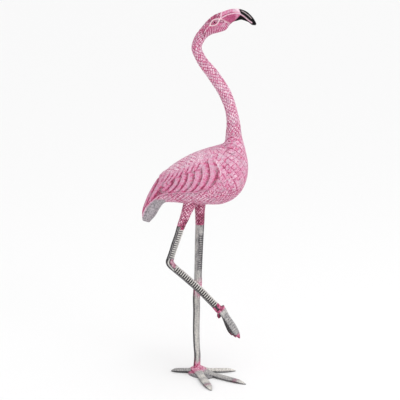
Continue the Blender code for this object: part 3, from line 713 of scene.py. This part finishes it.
def standingPaint(at):
    z, turn, between = at["z"], at["turn"], at["between"]
    level, lower = legs["standingLevels"], stepDown(z, 215, 300)
    paint = level["plain"] + lower * (level["lower"] + level["lowerRear"] * stepUp(turn, 114, 136))
    paint += (level["front"] + level["lowerFront"] * lower) * stepDown(turn, 34, 56)
    paint += level["knee"] * hump(z - 268, 30) + level["gap"] * between * stepDown(turn, 84, 118)
    thigh = stepUp(z, 420, 430)
    # the standing thigh's darker crimson, strongest over the patch on its lower front, is painted shade
    patch = stepDown(z, 452, 466) * thigh * stepDown(turn, 110, 128)
    paint = np.where(thigh > 0.5, level["thigh"] + level["patch"] * patch, paint)
    kneeBlush = hump(z - 246, 33) * (0.45 + 0.16 * (turn < 80))
    edges = np.abs(np.cos(np.radians(turn)))
    ankle = stepDown(z, 36, 70) * (0.15 + 0.55 * edges) + stepDown(z, 24, 40)
    paint += level["ankle"] * stepDown(z, 50, 80) * edges * (z > 30)
    return paint, np.maximum.reduce([thigh, kneeBlush, 0.6 * ankle]), thigh


# The scales of the breast go on over the thighs.
def makeLeg(name, side, painter, tree, template, finish):
    verts, faces, at = buildLeg(name, side, tree, template, finish)
    paint, blush, thigh = painter(at)
    radius, steepPitch, shallowPitch = legs["thighScales"]
    up, around = verts[:, 2] / mm, np.radians(at["turn"]) * radius
    lattice = (up + around) / steepPitch, (up - around) / shallowPitch, thigh
    return makePiece(1, verts, faces, paint, lattice, crimson=blush)


# Closes rings of points, all with the same number of points, and a middle point at each end.
def ringPiece(rings):
    count = rings.shape[0] * rings.shape[1]
    grid = np.arange(count).reshape(rings.shape[:2])
    verts = np.concatenate([rings.reshape(-1, 3), [rings[0].mean(axis=0), rings[-1].mean(axis=0)]])
    return verts, tubeFaces(grid) + capFaces(grid[0], count) + capFaces(grid[-1], count + 1)


def limbRings(path, across, thick, level, angle):
    tangent = unitVectors(np.gradient(path, axis=0))
    sideways = unitVectors(np.cross(np.array(level, float), tangent))
    upward = np.cross(tangent, sideways)
    return (path[:, None] + sideways[:, None] * np.cos(angle)[None, :, None] * across[..., None]
            + upward[:, None] * np.sin(angle)[None, :, None] * thick[..., None])


def toeProfile(t, width, thick):
    swell = 1 + 0.10 * np.cos(2 * np.pi * 1.5 * t)
    taper = 1 - 0.35 * t
    tip = np.sqrt(np.clip((1.0 - t) / foot["claw"], 0.02, 1))
    return 0.5 * width * swell * taper * tip, 0.5 * thick * taper * np.clip(tip, 0.25, 1)


# A toe from its centre line: creases across its top, and a claw set off by a deeper one.
def buildToe(path, across, thick, level, t, pale, blush):
    wave = 0.5 + 0.5 * np.cos(2 * np.pi * runAlong(path) / mm / foot["creasePitch"])
    creases = wave * stepUp(t, 0.12, 0.25) * stepDown(t, 0.8, 0.86)
    claw = hump(t - 0.86, 0.012)
    angle = np.linspace(0, 2 * np.pi, foot["sides"], endpoint=False)
    top = stepUp(np.sin(angle), -0.1, 0.5)
    cut = (creases * foot["creaseDepth"] + foot["clawCut"] * claw)[:, None] * top[None] * mm
    rings = limbRings(path, across[:, None] - 0.5 * cut, thick[:, None] - cut, level, angle)
    verts, faces = ringPiece(rings)
    # painted shade: the underside and lower sides of every toe (1 - top) are painted darker
    shade = pale - 0.22 * creases[:, None] * top - 0.35 * claw[:, None] - 0.6 * (1 - top)
    shade -= (0.45 * np.clip(blush, 0, 1) + 0.3 * stepUp(t, 0.95, 1))[:, None]
    tint = blush[:, None] + 0 * top
    return makePiece(1, verts, faces, np.append(shade, [0.5, 0.5]), crimson=np.append(tint, [0, 0]))


def buildStandingToe(bearing, length, pale):
    t = np.linspace(-0.03, 1, foot["rows"])
    across, thick = toeProfile(np.clip(t, 0, 1), foot["width"] * unit, foot["thick"] * unit)
    rise = foot["rootRise"] * foot["thick"] * unit * stepDown(t, 0, 0.35)
    heading = np.array([np.cos(np.radians(bearing)), np.sin(np.radians(bearing)), 0])
    path = heading[None] * (t * length * unit)[:, None]
    path[:, 1] += legs["offset"] * unit
    path[:, 2] = foot["soleShare"] * 2 * thick + rise
    across = across * (1 + foot["rootFlare"] * stepDown(t, 0, 0.4))
    blush = 0.66 * stepDown(t, 0.10, 0.27) + 0.36 * hump(t - 0.8, 0.07) * (length > 130)
    return buildToe(path, across, thick + rise, (0, 0, 1), t, pale, blush)


def buildRaisedToe(tipX, tipY, tipZ, widthShare, pale):
    t = np.linspace(0, 1, foot["rows"])
    ankle = np.array([foot["raisedRoot"][0], -legs["offset"], foot["raisedRoot"][1]]) * unit
    reach = np.array([tipX, tipY, tipZ]) * unit
    width, thickness = widthShare * foot["width"] * unit, foot["raisedThick"] * foot["thick"] * unit
    across, thick = toeProfile(t, width, thickness)
    root = ankle + np.array([0, foot["spread"] * reach[1], 0])
    bow = np.array(foot["raisedBow"]) * np.linalg.norm(reach)
    path = root + (ankle + reach - root)[None] * t[:, None] + bow[None] * np.sin(np.pi * t)[:, None]
    blush = 0.8 * stepDown(t, 0, 0.12) + 0.62 * stepUp(t, 0.82, 0.9) + 0.9 * (tipZ > -50)
    return buildToe(path, across, thick, foot["raisedLevel"], t, pale, blush)


def buildPalm():
    angle = np.linspace(-np.pi, np.pi, foot["palmSides"], endpoint=False)
    bearings, reaches = np.array(foot["web"], float).T
    reach = np.interp(np.degrees(angle), bearings, reaches) * unit
    rise, part = np.array(foot["palmRise"])[..., None].transpose(1, 0, 2)
    rings = np.stack([reach * part * np.cos(angle), reach * part * np.sin(angle) + legs["offset"] * unit,
                      rise * foot["thick"] * unit + 0 * angle], axis=-1)
    verts, faces = ringPiece(rings)
    away = np.hypot(verts[:, 0], verts[:, 1] - legs["offset"] * unit) / mm
    return makePiece(1, verts, faces, foot["palmLevel"], crimson=0.66 * stepDown(away, 20, 38))


def buildEye(side):
    radius = face["eyeRadius"] * mm
    shaped = bmesh.new()
    bmesh.ops.create_uvsphere(shaped, u_segments=24, v_segments=16, radius=radius)
    verts = np.array([vertex.co[:] for vertex in shaped.verts])
    faces = [[vertex.index for vertex in polygon.verts] for polygon in shaped.faces]
    shaped.free()
    x, z = np.array(face["eye"]) * unit
    centre = np.array([x, side * (face["eyeHalfWidth"] * unit - 0.45 * radius), z])
    pupil = stepDown(np.hypot(verts[:, 0], verts[:, 2]) / radius, 0.42, 0.52)
    return makePiece(0, verts + centre, faces, 0.35, black=pupil, crimson=0.5)


def storedField(tree, name, kind):
    return addNode(tree, "GeometryNodeInputNamedAttribute", {"Name": name}, data_type=kind)["Attribute"]


# Presses the grooves between the scales into a surface, along its normals, and leaves the rest proud.
def scaleTree():
    inputs = {"Geometry": "Geometry", "Depth": "Float", "Finish": "Material"}
    tree, given = startTree("pressedScales", inputs)
    lattice, groove = storedField(tree, "lattice", "FLOAT_VECTOR"), storedField(tree, "groove", "FLOAT")
    p, q, strength = addNode(tree, "ShaderNodeSeparateXYZ", {0: lattice})
    dome = remap(tree, lineGap(tree, p, q), 0.0, groove, -1.0, 0.0, "SMOOTHSTEP")
    sunk = calculate(tree, "MULTIPLY", calculate(tree, "MULTIPLY", dome, strength), given["Depth"])
    normal = addNode(tree, "GeometryNodeInputNormal")[0]
    shift = addNode(tree, "ShaderNodeVectorMath", {0: normal, "Scale": sunk}, operation="SCALE")[0]
    moved = addNode(tree, "GeometryNodeSetPosition", {"Geometry": given["Geometry"], "Offset": shift})[0]
    return finishTree(tree, moved, given["Finish"])


# each attribute's type, the name of its value, and its highest value
attributeKinds = {
    "paint": ("FLOAT", "value", 1), "zones": ("FLOAT_COLOR", "color", 1),
    "lattice": ("FLOAT_VECTOR", "vector", None), "groove": ("FLOAT", "value", None),
}


def addAttributes(mesh, fields):
    for name, (kind, part, highest) in attributeKinds.items():
        values = fields[name] if highest is None else np.clip(fields[name], 0, highest)
        attribute = mesh.attributes.new(name, kind, "POINT")
        attribute.data.foreach_set(part, values.astype(np.float32).ravel())


def pressScales(piece, finish):
    mesh = bpy.data.meshes.new("bird")
    mesh.from_pydata(piece["verts"].tolist(), [], piece["faces"])
    addAttributes(mesh, piece)
    turnNormalsOut(mesh)
    values = {"Depth": scales["depth"] * mm, "Finish": finish}
    piece["verts"], piece["faces"] = shapedArrays(addObject("bird", mesh), scaleTree(), values)
    return piece


def linear(hexColour):
    channels = [int(hexColour[k:k + 2], 16) / 255 for k in (1, 3, 5)]
    return tuple(c / 12.92 if c <= 0.04045 else ((c + 0.055) / 1.055) ** 2.4 for c in channels) + (1.0,)


def rampNode(tree, factor, stops):
    node = tree.nodes.new("ShaderNodeValToRGB")
    feed(tree, node, {"Fac": factor})
    elements = node.color_ramp.elements
    while len(elements) < len(stops):
        elements.new(0.5)
    for element, (place, colour) in zip(elements, stops):
        element.position = place
        element.color = linear(colour)
    return node.outputs["Color"]


pinkPaint = {
    "name": "brushed pink enamel on cast aluminium",
    "ramp": [(0.0, "#7E2248"), (0.16, "#A93A66"), (0.32, "#C85A88"), (0.48, "#CF85A6"), (0.64, "#D39FB8"),
             (0.80, "#E3BACB"), (1.0, "#F2DBE4")],
    "lilac": "#B9A5B2", "blot": "#D0446F", "cream": "#E9DEDB", "black": "#09070B",
    "metal": [(0.36, "#756F74"), (0.64, "#B9B0B6")], "jaw": [(0.3, "#8A2450"), (0.7, "#B94A7B")],
    "speckle": 3.6, "patch": 12.0, "blots": 7.0,  # mm across
    "scaleDepth": 0.5, "grain": 0.22, "scaleGrain": 1.2,
    # on the paint and on the black enamel
    "roughness": (0.48, 0.14), "reflection": (0.5, 0.07),
    "bump": {"Strength": 0.55, "Distance": 0.9 * mm},
}
greyPaint = {
    "name": "dry brushed grey paint on cast aluminium",
    "ramp": [(0.0, "#1E1B1E"), (0.2, "#4A4648"), (0.45, "#868486"), (0.65, "#B1AEAB"), (0.82, "#CBC7C0"),
             (1.0, "#E4E1DB")],
    "pink": [(0.0, "#5E1232"), (0.2, "#9A2C56"), (0.42, "#BC527C"), (0.62, "#CC86A2"), (0.85, "#DFB2C4"),
             (1.0, "#F0D2DE")],
    "speckle": 3.0, "streak": 3.0, "mottle": 5.5,  # mm
    "scaleDepth": 0.6, "grain": 0.16, "scaleGrain": 0.0,
    "roughness": 0.5,
    "bump": {"Strength": 0.5, "Distance": 0.7 * mm},
}


def storedValue(tree, name, output):
    return addNode(tree, "ShaderNodeAttribute", attribute_type="GEOMETRY", attribute_name=name)[output]


def noiseAt(tree, place, size, detail, roughness):  # size in mm
    values = {"Vector": place, "Scale": 1 / (size * mm), "Detail": detail, "Roughness": roughness}
    return addNode(tree, "ShaderNodeTexNoise", values)["Fac"]


# Shared part of both paints: the level of the surface, broken up as a brush leaves it.
def paintLevel(tree, place, paint):
    depth, groove = paint["scaleDepth"], storedValue(tree, "groove", "Fac")
    p, q, strength = addNode(tree, "ShaderNodeSeparateXYZ", {0: storedValue(tree, "lattice", "Vector")})
    speckle = noiseAt(tree, place, paint["speckle"], 3.0, 0.6)
    wobble = calculate(tree, "MULTIPLY_ADD", speckle, 0.12, lineGap(tree, p, q))
    lineEnd = calculate(tree, "MULTIPLY_ADD", groove, 1.2, 0.06)
    dome = remap(tree, wobble, 0.05, lineEnd, -depth, 0.22 * depth, "SMOOTHSTEP")
    scaled = calculate(tree, "MULTIPLY_ADD", dome, strength, storedValue(tree, "paint", "Fac"))
    corner = {k: calculate(tree, "FLOOR", part) for k, part in enumerate((p, q))}
    cell = addNode(tree, "ShaderNodeCombineXYZ", corner)[0]
    chance = addNode(tree, "ShaderNodeTexWhiteNoise", {"Vector": cell}, noise_dimensions="2D")["Value"]
    shade = remap(tree, chance, 0.0, 1.0, -0.16, 0.14)  # no two scales alike
    perScale = calculate(tree, "MULTIPLY_ADD", shade, strength, scaled)
    amount = calculate(tree, "MULTIPLY_ADD", groove, paint["scaleGrain"], paint["grain"])
    total = calculate(tree, "MULTIPLY_ADD", remap(tree, speckle, 0.3, 0.7, -1.0, 1.0), amount, perScale)
    return total, speckle


def mixColour(tree, amount, first, second):
    return addNode(tree, "ShaderNodeMix", {0: amount, 6: first, 7: second}, data_type="RGBA")[2]


def startMaterial(name):
    material = bpy.data.materials.new(name)
    material.use_nodes = True
    return material, material.node_tree, material.node_tree.nodes["Principled BSDF"]


def startPaint(paint):
    material, tree, shader = startMaterial(paint["name"])
    place = addNode(tree, "ShaderNodeTexCoord")["Object"]
    total, speckle = paintLevel(tree, place, paint)
    zones = addNode(tree, "ShaderNodeSeparateColor", {0: storedValue(tree, "zones", "Color")})
    relief = addNode(tree, "ShaderNodeBump", {"Height": total, **paint["bump"]})[0]
    feed(tree, shader, {"IOR": 1.5, "Normal": relief})
    return material, tree, shader, place, total, speckle, zones


# Brushed-on enamel over cast aluminium: crimson is left in the grooves and pale pink is dragged over the
# high places, so the relief reads from across a garden. Satin, with a slightly pitted skin from the sand.
def pinkMaterial():
    material, tree, shader, place, total, speckle, zones = startPaint(pinkPaint)
    patch = noiseAt(tree, place, pinkPaint["patch"], 4.0, 0.65)
    blots = noiseAt(tree, place, pinkPaint["blots"], 2.0, 0.5)
    layers = [
        (remap(tree, patch, 0.46, 0.64, 0.0, 0.5, "SMOOTHSTEP"), linear(pinkPaint["lilac"])),
        (remap(tree, blots, 0.56, 0.72, 0.0, 0.45, "SMOOTHSTEP"), linear(pinkPaint["blot"])),
        (zones["Blue"], rampNode(tree, speckle, pinkPaint["jaw"])),
        (zones["Green"], rampNode(tree, speckle, pinkPaint["metal"])),
        (storedValue(tree, "zones", "Alpha"), linear(pinkPaint["cream"])),
        (zones["Red"], linear(pinkPaint["black"])),
    ]
    colour = rampNode(tree, total, pinkPaint["ramp"])
    for amount, layer in layers:
        colour = mixColour(tree, amount, colour, layer)
    roughness, reflection = (remap(tree, zones["Red"], 0.0, 1.0, *pinkPaint[name])
                             for name in ("roughness", "reflection"))
    feed(tree, shader, {"Base Color": colour, "Roughness": roughness, "Specular IOR Level": reflection})
    return material


# Dry-brushed grey and off-white over a dark wash on cast aluminium: the wash stays between the scutes.
def greyMaterial():
    material, tree, shader, place, total, speckle, zones = startPaint(greyPaint)
    stretched = addNode(tree, "ShaderNodeMapping", {"Vector": place, "Scale": (1.0, 1.0, 0.12)})[0]
    streak = noiseAt(tree, stretched, greyPaint["streak"], 3.0, 0.5)
    dragged = calculate(tree, "ADD", total, remap(tree, streak, 0.3, 0.7, -0.16, 0.12))
    mottle = noiseAt(tree, place, greyPaint["mottle"], 3.0, 0.65)
    mottled = calculate(tree, "ADD", total, remap(tree, mottle, 0.3, 0.7, -0.5, 0.5))
    amount = calculate(tree, "MULTIPLY_ADD", zones["Blue"], speckle, zones["Blue"])
    blush = remap(tree, amount, 0.25, 0.95, 0.0, 1.0, "SMOOTHSTEP")
    grey, pink = rampNode(tree, dragged, greyPaint["ramp"]), rampNode(tree, mottled, greyPaint["pink"])
    colour = mixColour(tree, blush, grey, pink)
    feed(tree, shader, {"Base Color": colour, "Roughness": greyPaint["roughness"]})
    return material


def joinPieces(pieces, name, materials):
    faces, slots, offset = [], [], 0
    for piece in pieces:
        faces += [[corner + offset for corner in polygon] for polygon in piece["faces"]]
        slots += [piece["slot"]] * len(piece["faces"])
        offset += len(piece["verts"])
    joined = {key: np.concatenate([piece[key] for piece in pieces]) for key in ("verts", *attributeKinds)}
    places = np.clip(joined["verts"], cadLow, cadHigh)  # also grinds the soles flat
    mesh = bpy.data.meshes.new(name)
    mesh.from_pydata(places.tolist(), [], faces)
    for material in materials:
        mesh.materials.append(material)
    mesh.polygons.foreach_set("material_index", slots)
    addAttributes(mesh, joined)
    turnNormalsOut(mesh)
    mesh.shade_smooth()
    return addObject(name, mesh)


pink, grey = pinkMaterial(), greyMaterial()
print("paints mixed")
pieces = [pressScales(buildBird(), pink)]
print("bird shaped,", len(pieces[0]["faces"]), "faces")
legTree, scute = limbTree(), scuteTemplate()
pieces.append(makeLeg("standing", 1, standingPaint, legTree, scute, grey))
pieces.append(makeLeg("raised", -1, raisedPaint, legTree, scute, grey))
bpy.data.objects.remove(scute)
print("legs shaped,", sum(len(piece["faces"]) for piece in pieces[1:]), "faces")
pieces += [buildStandingToe(*toe) for toe in foot["toes"].values()] + [buildPalm()]
pieces += [buildRaisedToe(*toe) for toe in foot["raised"].values()]
pieces += [buildEye(side) for side in (-1, 1)]
statue = joinPieces(pieces, "flamingoStatue", [pink, grey])
print("statue joined,", sum(len(polygon.vertices) - 2 for polygon in statue.data.polygons), "triangles")
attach(statue, "root")
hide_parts("flamingo")


# floor, light and camera

studio = {
    "distance": 3.0, "height": 12.0, "lens": 101.07, "sensor": 36,  # metres, degrees above level, mm
    "aim": (0.0083, 0.0, 0.4956),
    "floor": "#F4F4F4", "floorSize": 120,
    "brightSide": (0.70, -0.50, 0.50), "dim": 0.42, "bright": 1.38,  # white light, stronger from one side
    # place, size in metres and power in watts
    "lamps": [("key", (1.8, -2.0, 1.7), 1.0, 8), ("top", (0.25, -0.45, 2.6), 0.4, 2.5)],
    "lampAim": (0, 0, 0.5),
}


def buildStudio():
    bpy.ops.mesh.primitive_plane_add(size=studio["floorSize"], location=(0, 0, 0))
    floor = bpy.context.object
    floor.name = "floor"
    material, tree, shader = startMaterial("white paper floor")
    feed(tree, shader, {"Base Color": linear(studio["floor"]), "Roughness": 0.9})
    floor.data.materials.append(material)
    tilt, (aimX, _, aimZ) = np.radians(studio["height"]), studio["aim"]
    camera = addObject("camera", bpy.data.cameras.new("camera"))
    camera.data.lens = studio["lens"]
    camera.data.sensor_width = studio["sensor"]
    camera.location = (aimX, -studio["distance"] * np.cos(tilt), aimZ + studio["distance"] * np.sin(tilt))
    camera.rotation_euler = (np.pi / 2 - tilt, 0, 0)
    camera.data.clip_end = 200
    bpy.context.scene.camera = camera
    for name, place, size, power in studio["lamps"]:
        lamp = addObject(name, bpy.data.lights.new(name, "AREA"))
        lamp.data.size = size
        lamp.data.energy = power
        lamp.location = place
        x, y, z = np.array(studio["lampAim"]) - np.array(place)
        lamp.rotation_euler = (np.arctan2(np.hypot(x, y), -z), 0, np.arctan2(y, x) - np.pi / 2)
    world = bpy.data.worlds.new("studio")
    world.use_nodes = True
    tree = world.node_tree
    sides = {0: addNode(tree, "ShaderNodeTexCoord")["Generated"], 1: studio["brightSide"]}
    towards = addNode(tree, "ShaderNodeVectorMath", sides, operation="DOT_PRODUCT")["Value"]
    strength = remap(tree, towards, -1.0, 1.0, studio["dim"], studio["bright"])
    feed(tree, tree.nodes["Background"], {"Color": (1, 1, 1, 1), "Strength": strength})
    bpy.context.scene.world = world
    bpy.context.scene.view_settings.view_transform = "Standard"


buildStudio()
print("studio set")
